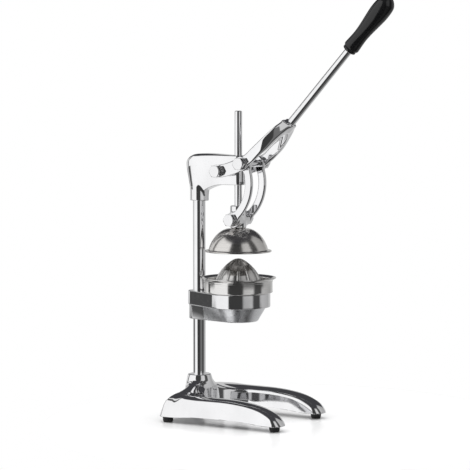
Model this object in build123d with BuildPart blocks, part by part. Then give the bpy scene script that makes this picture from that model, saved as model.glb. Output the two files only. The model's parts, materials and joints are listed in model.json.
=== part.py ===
from build123d import *
from math import atan2, cos, hypot, radians, sin
import os

# Citrus press juicer, in millimetres.
# +X runs from the post towards the toes of the base, +Z is up, and the press is symmetric about Y = 0.
# The origin is the centre of the whole outline on the table, with the lever raised as it is stored.
# The pivot bolts lie along Y, with their heads on the -Y side.

# ---- driving dimensions ----
PRESS_X = -85.8                  # vertical axis of the plunger, dome and bowl
POST_X = PRESS_X - 72.5          # axis of the post

# base
FOOT_HEIGHT = 9.0
FOOT_RADIUS = 8.5
REAR_FOOT_X = PRESS_X - 84.0
REAR_FOOT_Y = 77.5
FRONT_FOOT_X = PRESS_X + 104.0
FRONT_FOOT_Y = 69.0
BASE_REAR_X = PRESS_X - 97.0
BASE_HALF_WIDTH = 89.0
BASE_CORNER_RADIUS = 19.0
TOE_RADIUS = 16.5
TOE_TIP_X = FRONT_FOOT_X + TOE_RADIUS
GLASS_GAP_RADIUS = 51.0          # half width of the gap between the legs
BASE_WALL = 5.0
BASE_CROWN_Z = 43.0
HUB_TOP_Z = 68.0
HUB_TOP_RADIUS = 18.6
HUB_BASE_Z = 50.0
HUB_BASE_RADIUS = 24.0
FOOT_SCREW_RADIUS = 2.0

# post
POST_RADIUS = 10.0
POST_WALL = 2.5
POST_BOTTOM_Z = 24.0
POST_TOP_Z = 408.0
POST_FIT = 0.02                  # radial gap between the post and the castings that hold it

# bracket that carries the bowl
BRACKET_BOTTOM_Z = 158.0
BAND_BOTTOM_Z = 181.0
BAND_TOP_Z = 203.5
BAND_RADIUS = 51.0
SEAT_RADIUS = 48.0
CLAMP_RADIUS = 17.7
SKIRT_TOP_RADIUS = 44.5
SKIRT_BOTTOM_RADIUS = 31.0
SKIRT_CLAMP_RADIUS = 16.2
SKIRT_WALL = 3.0

# bowl and strainer
BOWL_RIM_Z = 228.0
BOWL_RIM_RADIUS = 60.3
BOWL_RADIUS = 54.9
BOWL_WALL = 1.4
BOWL_STEP_Z = BAND_TOP_Z + 0.3
BOWL_LOWER_RADIUS = SEAT_RADIUS - 0.5
SPOUT_RADIUS = 12.0
SPOUT_BOTTOM_Z = 160.0
REAMER_TOP_Z = 258.0
REAMER_FOOT_RADIUS = 39.0
REAMER_FOOT_Z = 224.0
REAMER_WALL = 2.0
REAMER_RIBS = 12
SIEVE_SLOTS = 30
DISH_Z = BOWL_STEP_Z + BOWL_WALL + 0.3

# plunger
DOME_RADIUS = 48.5
DOME_CENTRE_Z = 259.5
DOME_WALL = 1.6
DOME_FLANGE_Z = 268.5
DOME_FLANGE_RADIUS = 53.0
DOME_FLANGE_HEIGHT = 2.6
DOME_CROWN_RADIUS = 13.5         # flat crown under the yoke
CROWN_Z = DOME_CENTRE_Z + (DOME_RADIUS**2 - DOME_CROWN_RADIUS**2) ** 0.5
ROD_RADIUS = 6.0
ROD_TOP_Z = 492.0
YOKE_RADIUS = 13.0
YOKE_TOP_Z = 342.0
YOKE_HALF_WIDTH = 17.4

# head
SOCKET_BOTTOM_Z = 348.5
SOCKET_RADIUS = 14.5
HEAD_TOP_Z = 424.0
BOSS_RADIUS = 11.0
BOSS_BOTTOM_Z = 374.5
BOSS_TOP_Z = 421.0
HEAD_REAR_RADIUS = 17.0

# lever linkage: pivots in the X-Z plane
LEVER_PIVOT = (PRESS_X - 18.5, 397.0)
LINK_TOP = (PRESS_X + 24.0, 409.5)
LINK_BOTTOM = (PRESS_X, 320.0)
PIVOT_BOLT_RADIUS = 5.0
LINK_BOLT_RADIUS = 4.0
BOLT_FIT = 0.05                  # radial running clearance of the pivots
SIDE_PLAY = 0.1                  # play along a pivot between parts that turn on each other
LINK_INNER_Y = 18.0
LINK_THICKNESS = 7.0
LINK_WIDTH = 12.5
LINK_EYE_RADIUS = 10.7
LINK_BULGE = 18.0                # how far the link's centre line bows forward of its two pivots
ARM_INNER_Y = 26.0
ARM_THICKNESS = 8.0
ARM_EYE_RADIUS = 10.2
ARM_STRAIGHT_END_X = PRESS_X + 40.0
HEX_FLATS = 18.0
WASHER_RADIUS = 10.8
ARM_OUTER_Y = ARM_INNER_Y + ARM_THICKNESS
ARM_WASHER = 3.0
ARM_SEAT_Y = ARM_OUTER_Y + ARM_WASHER
ARM_HEAD_HEIGHT = 8.0
ARM_NUT_HEIGHT = 8.0
LINK_OUTER_Y = LINK_INNER_Y + LINK_THICKNESS
LINK_WASHER = 1.5
LINK_SEAT_Y = LINK_OUTER_Y + LINK_WASHER
LINK_HEAD_HEIGHT = 6.0
SLOT_FRONT = 1.95                # travel of the lower bolt in the yoke, forward of its rest place
SLOT_REAR = 6.1
SLOT_UP = 0.3
SLOT_DOWN = 2.0

# lever rod and grip
LEVER_ANGLE = 48.0               # degrees above the horizontal
COLLAR = (PRESS_X + 95.0, 474.0)
COLLAR_RADIUS = 8.6
COLLAR_LENGTH = 15.0
LEVER_ROD_FOOT_RADIUS = 6.7
LEVER_ROD_TIP_RADIUS = 5.9
GRIP_START = 147.5               # distances along the lever from the end of the collar
GRIP_LENGTH = 106.0
GRIP_BORE_DEPTH = 88.0

os.makedirs("parts", exist_ok=True)


def save(builder, name):
    """Label a finished sub-part and write its STEP file."""
    builder.part.label = name
    export_step(builder.part, f"parts/{name}.step")


def side_plane(y):
    """A plane facing -Y: sketch x is +X, sketch y is +Z, and extrusion goes towards -Y."""
    return Plane(origin=(0, y, 0), x_dir=(1, 0, 0), z_dir=(0, -1, 0))


def along_y(x, z, y):
    """A plane at (x, y, z) for a round feature whose axis runs towards -Y."""
    return Plane(origin=(x, y, z), x_dir=(1, 0, 0), z_dir=(0, -1, 0))


def lever_plane(distance):
    """A plane across the lever rod, this far beyond the end of the collar."""
    run = radians(LEVER_ANGLE)
    origin = (COLLAR[0] + distance * cos(run), 0, COLLAR[1] + distance * sin(run))
    return Plane(origin=origin, x_dir=(0, 1, 0), z_dir=(cos(run), 0, sin(run)))


# ---- base casting: a horseshoe shell on four feet, with a hub for the post ----
def base_block(inset, drop):
    """The horseshoe, inset all round by one wall and lowered by drop; (0, 0) gives the outside."""
    with BuildPart() as block:
        with BuildSketch(Plane.XY.offset(FOOT_HEIGHT)):
            with BuildLine():
                outer = Polyline(
                    (TOE_TIP_X, -BASE_HALF_WIDTH + 3.5),
                    (BASE_REAR_X + 40, -BASE_HALF_WIDTH),
                    (BASE_REAR_X, -BASE_HALF_WIDTH),
                    (BASE_REAR_X, BASE_HALF_WIDTH),
                    (BASE_REAR_X + 40, BASE_HALF_WIDTH),
                    (TOE_TIP_X, BASE_HALF_WIDTH - 3.5),
                )
                Line(outer @ 1, outer @ 0)
            make_face()
            rear_corners = vertices().group_by(Axis.X)[0]
            fillet(rear_corners, radius=BASE_CORNER_RADIUS)
            with Locations((PRESS_X, 0)):
                Circle(GLASS_GAP_RADIUS, mode=Mode.SUBTRACT)
            with Locations((PRESS_X + 100, 0)):
                Rectangle(200, 2 * GLASS_GAP_RADIUS, mode=Mode.SUBTRACT)
            toe_corners = vertices().group_by(Axis.X)[-1]
            fillet(toe_corners, radius=TOE_RADIUS)
            if inset:
                offset(amount=-inset, kind=Kind.ARC)
        extrude(amount=HUB_TOP_Z)
        with BuildSketch(side_plane(BASE_HALF_WIDTH + 5)):
            with BuildLine():
                top_z = BASE_CROWN_Z - drop
                rear = ThreePointArc(
                    (BASE_REAR_X + inset, FOOT_HEIGHT + 4),
                    (BASE_REAR_X + inset + 9, top_z - 11),
                    (BASE_REAR_X + 34, top_z - 2),
                )
                crown = ThreePointArc(rear @ 1, (PRESS_X - 10, top_z), (PRESS_X + 42, top_z - 1.5))
                nose = ThreePointArc(
                    crown @ 1,
                    (PRESS_X + 88, top_z - 12),
                    (TOE_TIP_X - inset + 0.5, FOOT_HEIGHT + 3),
                )
                Polyline(
                    nose @ 1,
                    (TOE_TIP_X - inset + 0.5, FOOT_HEIGHT - 1),
                    (BASE_REAR_X + inset, FOOT_HEIGHT - 1),
                    rear @ 0,
                )
            make_face()
        extrude(amount=2 * BASE_HALF_WIDTH + 10, mode=Mode.INTERSECT)
    return block.part


base_outside = base_block(0, 0)
base_pocket = base_block(BASE_WALL, BASE_WALL)
feet_places = [
    (REAR_FOOT_X, -REAR_FOOT_Y),
    (REAR_FOOT_X, REAR_FOOT_Y),
    (FRONT_FOOT_X, -FRONT_FOOT_Y),
    (FRONT_FOOT_X, FRONT_FOOT_Y),
]

with BuildPart() as hub_blank:
    # flared hub, trimmed to the horseshoe's outline where it reaches the gap for the glass
    with BuildSketch(Plane.XZ):
        with BuildLine():
            foot = Line((POST_X, FOOT_HEIGHT), (POST_X + 56, FOOT_HEIGHT))
            edge = Line(foot @ 1, (POST_X + 56, BASE_CROWN_Z - 3))
            flare = ThreePointArc(
                edge @ 1,
                (POST_X + 34, BASE_CROWN_Z - 1),
                (POST_X + HUB_BASE_RADIUS, HUB_BASE_Z),
            )
            cone = Line(flare @ 1, (POST_X + HUB_TOP_RADIUS, HUB_TOP_Z - 1.5))
            Polyline(cone @ 1, (POST_X + HUB_TOP_RADIUS - 1.5, HUB_TOP_Z), (POST_X, HUB_TOP_Z), foot @ 0)
        make_face()
    revolve(axis=Axis((POST_X, 0, 0), (0, 0, 1)))
    with BuildSketch(Plane.XY.offset(FOOT_HEIGHT)):
        with Locations((BASE_REAR_X + 60 + 2, 0)):
            Rectangle(120, 2 * BASE_HALF_WIDTH)
        with Locations((PRESS_X, 0)):
            Circle(GLASS_GAP_RADIUS, mode=Mode.SUBTRACT)
    extrude(amount=HUB_TOP_Z, mode=Mode.INTERSECT)

with BuildPart() as base_casting:
    add(base_outside)
    add(hub_blank.part)
    add(base_pocket, mode=Mode.SUBTRACT)
    # thick core under the post and a boss over each foot
    with BuildSketch(Plane.XY.offset(FOOT_HEIGHT + 3)):
        with Locations((POST_X, 0)):
            Circle(HUB_TOP_RADIUS)
    extrude(amount=BASE_CROWN_Z - FOOT_HEIGHT - 3)
    with BuildSketch(Plane.XY.offset(FOOT_HEIGHT)):
        with Locations(*feet_places):
            Circle(FOOT_RADIUS - 0.5)
    extrude(amount=11)
    # socket for the post, and the bolt hole below it
    with BuildSketch(Plane.XY.offset(POST_BOTTOM_Z)):
        with Locations((POST_X, 0)):
            Circle(POST_RADIUS + POST_FIT)
    extrude(amount=HUB_TOP_Z, mode=Mode.SUBTRACT)
    with BuildSketch(Plane.XY):
        with Locations((POST_X, 0)):
            Circle(5.3)
    extrude(amount=HUB_TOP_Z, mode=Mode.SUBTRACT)
    # threaded holes for the foot screws
    with BuildSketch(Plane.XY):
        with Locations(*feet_places):
            Circle(FOOT_SCREW_RADIUS + POST_FIT)
    extrude(amount=FOOT_HEIGHT + 9, mode=Mode.SUBTRACT)
save(base_casting, "base_casting")

with BuildPart() as rubber_feet:
    with BuildSketch(Plane.XY):
        with Locations(*feet_places):
            Circle(FOOT_RADIUS - 0.8)
    extrude(amount=FOOT_HEIGHT, taper=-5)
    with BuildSketch(Plane.XY):
        with Locations(*feet_places):
            Circle(4.6)
    extrude(amount=4.0, mode=Mode.SUBTRACT)
    with BuildSketch(Plane.XY):
        with Locations(*feet_places):
            Circle(2.3)
    extrude(amount=FOOT_HEIGHT, mode=Mode.SUBTRACT)
save(rubber_feet, "rubber_feet")

with BuildPart() as foot_screws:
    with BuildSketch(Plane.XY.offset(1.6)):
        with Locations(*feet_places):
            Circle(3.9)
    extrude(amount=2.4)
    with BuildSketch(Plane.XY.offset(1.6)):
        with Locations(*feet_places):
            Circle(FOOT_SCREW_RADIUS)
    extrude(amount=FOOT_HEIGHT + 5)
    with BuildSketch(Plane.XY.offset(1.6)):
        with Locations(*feet_places):
            RegularPolygon(radius=1.4, side_count=6)
    extrude(amount=1.4, mode=Mode.SUBTRACT)
save(foot_screws, "foot_screws")

# ---- post: chromed tube with a threaded plug, bolted up through the base ----
with BuildPart() as post_tube:
    with BuildSketch(Plane.XY.offset(POST_BOTTOM_Z + 0.2)):
        with Locations((POST_X, 0)):
            Circle(POST_RADIUS)
            Circle(POST_RADIUS - POST_WALL, mode=Mode.SUBTRACT)
    extrude(amount=POST_TOP_Z - POST_BOTTOM_Z - 0.4)
save(post_tube, "post_tube")

with BuildPart() as post_plug:
    with BuildSketch(Plane.XY.offset(POST_BOTTOM_Z + 0.2)):
        with Locations((POST_X, 0)):
            Circle(POST_RADIUS - POST_WALL - POST_FIT)
            Circle(5.02, mode=Mode.SUBTRACT)
    extrude(amount=24)
save(post_plug, "post_plug")

with BuildPart() as post_washer:
    with BuildSketch(Plane.XY.offset(FOOT_HEIGHT + 1)):
        with Locations((POST_X, 0)):
            Circle(WASHER_RADIUS)
            Circle(5.3, mode=Mode.SUBTRACT)
    extrude(amount=2)
save(post_washer, "post_washer")

with BuildPart() as post_bolt:
    with BuildSketch(Plane.XY.offset(FOOT_HEIGHT - 5.6)):
        with Locations((POST_X, 0)):
            RegularPolygon(radius=HEX_FLATS / 2, side_count=6, major_radius=False)
    extrude(amount=6.6)
    with BuildSketch(Plane.XY.offset(FOOT_HEIGHT)):
        with Locations((POST_X, 0)):
            Circle(5.0)
    extrude(amount=34)
save(post_bolt, "post_bolt")

# ---- bracket: clamp, tapering strap and ring in one casting, with a conical skirt below ----
with BuildPart() as bracket_casting:
    with BuildSketch(Plane.XY.offset(BAND_BOTTOM_Z)):
        with Locations((POST_X, 0)):
            Circle(CLAMP_RADIUS)
        with Locations((PRESS_X, 0)):
            Circle(BAND_RADIUS)
        make_hull()
    extrude(amount=BAND_TOP_Z - BAND_BOTTOM_Z)
    with BuildSketch(Plane.XY.offset(BRACKET_BOTTOM_Z)):
        with Locations((POST_X, 0)):
            Circle(SKIRT_CLAMP_RADIUS)
        with Locations((PRESS_X, 0)):
            Circle(SKIRT_BOTTOM_RADIUS)
        make_hull()
    with BuildSketch(Plane.XY.offset(BAND_BOTTOM_Z)):
        with Locations((POST_X, 0)):
            Circle(SKIRT_CLAMP_RADIUS)
        with Locations((PRESS_X, 0)):
            Circle(SKIRT_TOP_RADIUS)
        make_hull()
    loft()
    # seat for the bowl, and the open cone below it
    with BuildSketch(Plane.XZ):
        with BuildLine():
            Polyline(
                (PRESS_X, BAND_TOP_Z + 1),
                (PRESS_X + SEAT_RADIUS, BAND_TOP_Z + 1),
                (PRESS_X + SEAT_RADIUS, BAND_BOTTOM_Z),
                (PRESS_X + SKIRT_TOP_RADIUS - SKIRT_WALL, BAND_BOTTOM_Z),
                (PRESS_X + SKIRT_BOTTOM_RADIUS - SKIRT_WALL, BRACKET_BOTTOM_Z - 1),
                (PRESS_X, BRACKET_BOTTOM_Z - 1),
                close=True,
            )
        make_face()
    revolve(axis=Axis((PRESS_X, 0, 0), (0, 0, 1)), mode=Mode.SUBTRACT)
    # bore for the post and the two threaded holes of the set screws behind it
    with BuildSketch(Plane.XY.offset(BRACKET_BOTTOM_Z - 1)):
        with Locations((POST_X, 0)):
            Circle(POST_RADIUS + POST_FIT)
    extrude(amount=BAND_TOP_Z, mode=Mode.SUBTRACT)
    for screw_z in (BRACKET_BOTTOM_Z + 11, BAND_TOP_Z - 11):
        with BuildSketch(Plane(origin=(POST_X, 0, screw_z), x_dir=(0, 1, 0), z_dir=(-1, 0, 0))):
            Circle(3.02)
        extrude(amount=CLAMP_RADIUS + 2, mode=Mode.SUBTRACT)
    fillet(edges().group_by(Axis.Z)[-1], radius=0.8)
save(bracket_casting, "bracket_casting")

with BuildPart() as bracket_screws:
    for screw_z in (BRACKET_BOTTOM_Z + 11, BAND_TOP_Z - 11):
        screw_plane = Plane(
            origin=(POST_X - POST_RADIUS - 0.1, 0, screw_z), x_dir=(0, 1, 0), z_dir=(-1, 0, 0)
        )
        with BuildSketch(screw_plane):
            Circle(3.0)
        extrude(amount=5.5)
        with BuildSketch(screw_plane.offset(3.0)):
            RegularPolygon(radius=1.6, side_count=6)
        extrude(amount=3, mode=Mode.SUBTRACT)
save(bracket_screws, "bracket_screws")

# ---- juice bowl: spun stainless bowl that drops into the ring, with a spout in its floor ----
with BuildPart() as juice_bowl:
    with BuildSketch(Plane.XZ):
        with BuildLine():
            inner_radius = BOWL_RADIUS - BOWL_WALL
            lower_inner = BOWL_LOWER_RADIUS - BOWL_WALL
            Polyline(
                (PRESS_X + BOWL_RIM_RADIUS, BOWL_RIM_Z - 1.4),
                (PRESS_X + BOWL_RIM_RADIUS, BOWL_RIM_Z),
                (PRESS_X + BOWL_RIM_RADIUS - 2, BOWL_RIM_Z),
                (PRESS_X + inner_radius, BOWL_RIM_Z - 3.4),
                (PRESS_X + inner_radius, BOWL_STEP_Z + BOWL_WALL),
                (PRESS_X + lower_inner, BOWL_STEP_Z + BOWL_WALL),
                (PRESS_X + lower_inner, BAND_BOTTOM_Z + 6),
                (PRESS_X + 33, BAND_BOTTOM_Z - 1),
                (PRESS_X + SPOUT_RADIUS - BOWL_WALL, BAND_BOTTOM_Z - 7),
                (PRESS_X + SPOUT_RADIUS - BOWL_WALL, SPOUT_BOTTOM_Z),
                (PRESS_X + SPOUT_RADIUS, SPOUT_BOTTOM_Z),
                (PRESS_X + SPOUT_RADIUS, BAND_BOTTOM_Z - 8.6),
                (PRESS_X + 34, BAND_BOTTOM_Z - 2.6),
                (PRESS_X + BOWL_LOWER_RADIUS, BAND_BOTTOM_Z + 4.8),
                (PRESS_X + BOWL_LOWER_RADIUS, BOWL_STEP_Z),
                (PRESS_X + BOWL_RADIUS, BOWL_STEP_Z),
                (PRESS_X + BOWL_RADIUS, BOWL_RIM_Z - 4),
                close=True,
            )
        make_face()
    revolve(axis=Axis((PRESS_X, 0, 0), (0, 0, 1)))
save(juice_bowl, "juice_bowl")

# ---- strainer: slotted dish that rests on the bowl's step, with the ribbed reamer in its middle ----
with BuildPart() as strainer:
    with BuildSketch(Plane.XZ):
        with BuildLine():
            lip_radius = BOWL_RADIUS - BOWL_WALL - 0.6
            Polyline(
                (PRESS_X, REAMER_TOP_Z),
                (PRESS_X + 6, REAMER_TOP_Z - 2.5),
                (PRESS_X + 25, REAMER_TOP_Z - 19),
                (PRESS_X + REAMER_FOOT_RADIUS - 3, REAMER_FOOT_Z),
                (PRESS_X + REAMER_FOOT_RADIUS, DISH_Z + 1.5),
                (PRESS_X + lip_radius, DISH_Z + 1.5),
                (PRESS_X + lip_radius, DISH_Z),
                (PRESS_X + REAMER_FOOT_RADIUS - REAMER_WALL, DISH_Z),
                (PRESS_X + REAMER_FOOT_RADIUS - 3 - REAMER_WALL, REAMER_FOOT_Z - 1),
                (PRESS_X + 23.5, REAMER_TOP_Z - 21),
                (PRESS_X + 5, REAMER_TOP_Z - 5),
                (PRESS_X, REAMER_TOP_Z - 4),
                close=True,
            )
        make_face()
    revolve(axis=Axis((PRESS_X, 0, 0), (0, 0, 1)))
    # twelve ribs up the reamer
    with BuildSketch(Plane.XZ.offset(-1.1)) as rib_profile:
        with BuildLine():
            Polyline(
                (PRESS_X + 3, REAMER_TOP_Z - 2.2),
                (PRESS_X + 8, REAMER_TOP_Z - 1.2),
                (PRESS_X + 28, REAMER_TOP_Z - 18.5),
                (PRESS_X + REAMER_FOOT_RADIUS, REAMER_FOOT_Z),
                (PRESS_X + REAMER_FOOT_RADIUS + 0.5, DISH_Z + 1),
                (PRESS_X + REAMER_FOOT_RADIUS - 1.5, DISH_Z + 1),
                (PRESS_X + REAMER_FOOT_RADIUS - 4, REAMER_FOOT_Z),
                (PRESS_X + 24, REAMER_TOP_Z - 20),
                close=True,
            )
        make_face()
    rib = Solid.extrude(rib_profile.sketch.face(), Vector(0, -2.2, 0))
    reamer_axis = Axis((PRESS_X, 0, 0), (0, 0, 1))
    for index in range(REAMER_RIBS):
        add(rib.rotate(reamer_axis, index * 360 / REAMER_RIBS))
    # radial slots of the sieve
    with BuildSketch(Plane.XY.offset(DISH_Z - 1)):
        with Locations((PRESS_X, 0)):
            with PolarLocations(45.8, SIEVE_SLOTS):
                SlotOverall(9.5, 2.2)
    extrude(amount=4, mode=Mode.SUBTRACT)
save(strainer, "strainer")

# ---- press dome: spun stainless half sphere with a rolled flange ----
with BuildPart() as press_dome:
    with BuildSketch(Plane.XZ):
        with BuildLine():
            inside = DOME_RADIUS - DOME_WALL
            skirt_z = DOME_FLANGE_Z + DOME_FLANGE_HEIGHT
            outer_start = (PRESS_X + (DOME_RADIUS**2 - (skirt_z - DOME_CENTRE_Z) ** 2) ** 0.5, skirt_z)
            inner_start = (
                PRESS_X + (inside**2 - (DOME_FLANGE_Z - DOME_CENTRE_Z) ** 2) ** 0.5,
                DOME_FLANGE_Z,
            )
            inner_crown_radius = (inside**2 - (CROWN_Z - DOME_WALL - DOME_CENTRE_Z) ** 2) ** 0.5
            half = radians(45)
            outer_arc = ThreePointArc(
                outer_start,
                (PRESS_X + DOME_RADIUS * cos(half), DOME_CENTRE_Z + DOME_RADIUS * sin(half)),
                (PRESS_X + DOME_CROWN_RADIUS, CROWN_Z),
            )
            inner_arc = ThreePointArc(
                inner_start,
                (PRESS_X + inside * cos(half), DOME_CENTRE_Z + inside * sin(half)),
                (PRESS_X + inner_crown_radius, CROWN_Z - DOME_WALL),
            )
            Polyline(
                outer_arc @ 1,
                (PRESS_X + 5.1, CROWN_Z),
                (PRESS_X + 5.1, CROWN_Z - DOME_WALL),
                inner_arc @ 1,
            )
            Polyline(
                inner_arc @ 0,
                (PRESS_X + DOME_FLANGE_RADIUS - 0.8, DOME_FLANGE_Z),
                (PRESS_X + DOME_FLANGE_RADIUS, DOME_FLANGE_Z + 0.8),
                (PRESS_X + DOME_FLANGE_RADIUS, DOME_FLANGE_Z + 1.8),
                (PRESS_X + DOME_FLANGE_RADIUS - 0.8, DOME_FLANGE_Z + DOME_FLANGE_HEIGHT),
                outer_arc @ 0,
            )
        make_face()
    revolve(axis=Axis((PRESS_X, 0, 0), (0, 0, 1)))
save(press_dome, "press_dome")

# ---- yoke: round hub on the dome's crown, with a cross barrel for the lower link bolt ----
with BuildPart() as yoke:
    with BuildSketch(Plane.XY.offset(CROWN_Z)):
        with Locations((PRESS_X, 0)):
            Circle(YOKE_RADIUS)
    extrude(amount=YOKE_TOP_Z - CROWN_Z)
    fillet(edges().group_by(Axis.Z)[-1], radius=2.5)
    with BuildSketch(along_y(LINK_BOTTOM[0], LINK_BOTTOM[1], YOKE_HALF_WIDTH)):
        Circle(YOKE_RADIUS - 0.6)
    extrude(amount=2 * YOKE_HALF_WIDTH)
    # bore for the rod, from above, and the smaller one for its threaded end
    with BuildSketch(Plane.XY.offset(LINK_BOTTOM[1] + 9)):
        with Locations((PRESS_X, 0)):
            Circle(ROD_RADIUS + POST_FIT)
    extrude(amount=40, mode=Mode.SUBTRACT)
    with BuildSketch(Plane.XY.offset(CROWN_Z - 1)):
        with Locations((PRESS_X, 0)):
            Circle(5.02)
    extrude(amount=5, mode=Mode.SUBTRACT)
    # cross slot: the lower link bolt shifts in it as the lever swings
    slot_radius = LINK_BOLT_RADIUS + 0.15
    with BuildSketch(along_y(LINK_BOTTOM[0], LINK_BOTTOM[1], YOKE_HALF_WIDTH + 1)):
        with Locations(((SLOT_FRONT - SLOT_REAR) / 2, (SLOT_UP - SLOT_DOWN) / 2)):
            RectangleRounded(
                2 * slot_radius + SLOT_FRONT + SLOT_REAR,
                2 * slot_radius + SLOT_UP + SLOT_DOWN,
                slot_radius,
            )
    extrude(amount=2 * YOKE_HALF_WIDTH + 2, mode=Mode.SUBTRACT)
save(yoke, "yoke")

with BuildPart() as plunger_rod:
    with BuildSketch(Plane.XY.offset(LINK_BOTTOM[1] + 9)):
        with Locations((PRESS_X, 0)):
            Circle(ROD_RADIUS)
    extrude(amount=ROD_TOP_Z - LINK_BOTTOM[1] - 9)
    fillet(edges().group_by(Axis.Z)[-1], radius=2.6)
save(plunger_rod, "plunger_rod")

with BuildPart() as dome_screw:
    with BuildSketch(Plane.XY.offset(CROWN_Z - DOME_WALL - 1.5)):
        with Locations((PRESS_X, 0)):
            Circle(5.0)
    extrude(amount=DOME_WALL + 1.5 + 4)
    with BuildSketch(Plane.XY.offset(CROWN_Z - DOME_WALL - 1.5 - 4)):
        with Locations((PRESS_X, 0)):
            RegularPolygon(radius=8.0, side_count=6, major_radius=False)
    extrude(amount=4)
save(dome_screw, "dome_screw")

with BuildPart() as dome_washer:
    with BuildSketch(Plane.XY.offset(CROWN_Z - DOME_WALL - 1.5)):
        with Locations((PRESS_X, 0)):
            Circle(9.5)
            Circle(5.1, mode=Mode.SUBTRACT)
    extrude(amount=1.5)
save(dome_washer, "dome_washer")

# ---- head: socket on the post, a web with flat sides, and the guide boss for the plunger ----
with BuildPart() as head_casting:
    with BuildSketch(Plane.XY.offset(SOCKET_BOTTOM_Z)):
        with Locations((POST_X, 0)):
            Circle(HEAD_REAR_RADIUS)
        with Locations((PRESS_X, 0)):
            Circle(BOSS_RADIUS)
        make_hull()
    extrude(amount=HEAD_TOP_Z - SOCKET_BOTTOM_Z + 2)
    with BuildSketch(side_plane(30)):
        with BuildLine():
            rear = Polyline(
                (POST_X - SOCKET_RADIUS, SOCKET_BOTTOM_Z),
                (POST_X - HEAD_REAR_RADIUS - 0.5, HEAD_TOP_Z - 18),
            )
            shoulder = ThreePointArc(
                rear @ 1,
                (POST_X - HEAD_REAR_RADIUS + 4, HEAD_TOP_Z - 6),
                (POST_X + 2, HEAD_TOP_Z),
            )
            top = ThreePointArc(
                shoulder @ 1,
                (POST_X + 40, HEAD_TOP_Z - 0.8),
                (PRESS_X + BOSS_RADIUS + 1, BOSS_TOP_Z),
            )
            front = Line(top @ 1, (PRESS_X + BOSS_RADIUS + 1, BOSS_BOTTOM_Z))
            under = Line(front @ 1, (PRESS_X - 25, BOSS_BOTTOM_Z))
            curve = ThreePointArc(
                under @ 1,
                (PRESS_X - 43, BOSS_BOTTOM_Z - 2.6),
                (POST_X + SOCKET_RADIUS, BOSS_BOTTOM_Z - 9),
            )
            Polyline(curve @ 1, (POST_X + SOCKET_RADIUS, SOCKET_BOTTOM_Z), rear @ 0)
        make_face()
    extrude(amount=60, mode=Mode.INTERSECT)
    fillet(edges().group_by(Axis.Z)[-1], radius=2.0)
    # blind socket for the post
    with BuildSketch(Plane.XY.offset(SOCKET_BOTTOM_Z - 1)):
        with Locations((POST_X, 0)):
            Circle(POST_RADIUS + POST_FIT)
    extrude(amount=POST_TOP_Z - SOCKET_BOTTOM_Z + 1, mode=Mode.SUBTRACT)
    # through bore for the guide bush
    with BuildSketch(Plane.XY.offset(BOSS_BOTTOM_Z - 1)):
        with Locations((PRESS_X, 0)):
            Circle(8.0 + POST_FIT)
    extrude(amount=60, mode=Mode.SUBTRACT)
    # cross hole for the lever's pivot bolt
    with BuildSketch(along_y(LEVER_PIVOT[0], LEVER_PIVOT[1], 30)):
        Circle(PIVOT_BOLT_RADIUS + BOLT_FIT)
    extrude(amount=60, mode=Mode.SUBTRACT)
    # threaded hole for the set screw behind the socket
    with BuildSketch(Plane(origin=(POST_X, 0, SOCKET_BOTTOM_Z + 16), x_dir=(0, 1, 0), z_dir=(-1, 0, 0))):
        Circle(3.02)
    extrude(amount=30, mode=Mode.SUBTRACT)
save(head_casting, "head_casting")

with BuildPart() as head_screw:
    head_screw_plane = Plane(
        origin=(POST_X - POST_RADIUS - 0.1, 0, SOCKET_BOTTOM_Z + 16), x_dir=(0, 1, 0), z_dir=(-1, 0, 0)
    )
    with BuildSketch(head_screw_plane):
        Circle(3.0)
    extrude(amount=4.2)
    with BuildSketch(head_screw_plane.offset(2.0)):
        RegularPolygon(radius=1.6, side_count=6)
    extrude(amount=3, mode=Mode.SUBTRACT)
save(head_screw, "head_screw")

with BuildPart() as guide_bush:
    with BuildSketch(Plane.XY.offset(BOSS_BOTTOM_Z)):
        with Locations((PRESS_X, 0)):
            Circle(8.0)
            Circle(ROD_RADIUS + BOLT_FIT, mode=Mode.SUBTRACT)
    extrude(amount=BOSS_TOP_Z - BOSS_BOTTOM_Z - 0.3)
save(guide_bush, "guide_bush")

# ---- links: a pair of bowed flat bars ----
link_span = hypot(LINK_TOP[0] - LINK_BOTTOM[0], LINK_TOP[1] - LINK_BOTTOM[1])
link_tilt = atan2(LINK_TOP[1] - LINK_BOTTOM[1], LINK_TOP[0] - LINK_BOTTOM[0])
bulge_point = (
    (LINK_TOP[0] + LINK_BOTTOM[0]) / 2 + LINK_BULGE * sin(link_tilt),
    (LINK_TOP[1] + LINK_BOTTOM[1]) / 2 - LINK_BULGE * cos(link_tilt),
)


def link_bar(y_outer):
    """One link, from y_outer towards -Y by its thickness."""
    with BuildPart() as bar:
        with BuildSketch(side_plane(y_outer)):
            with BuildLine():
                centre_line = ThreePointArc(LINK_TOP, bulge_point, LINK_BOTTOM)
            SlotArc(arc=centre_line, height=LINK_WIDTH)
            with Locations(LINK_TOP, LINK_BOTTOM):
                Circle(LINK_EYE_RADIUS)
            with Locations(LINK_TOP):
                Circle(PIVOT_BOLT_RADIUS + BOLT_FIT, mode=Mode.SUBTRACT)
            with Locations(LINK_BOTTOM):
                Circle(LINK_BOLT_RADIUS + BOLT_FIT, mode=Mode.SUBTRACT)
        extrude(amount=LINK_THICKNESS)
    return bar


link_right = link_bar(-LINK_INNER_Y)
save(link_right, "link_right")
link_left = link_bar(LINK_INNER_Y + LINK_THICKNESS)
save(link_left, "link_left")

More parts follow.
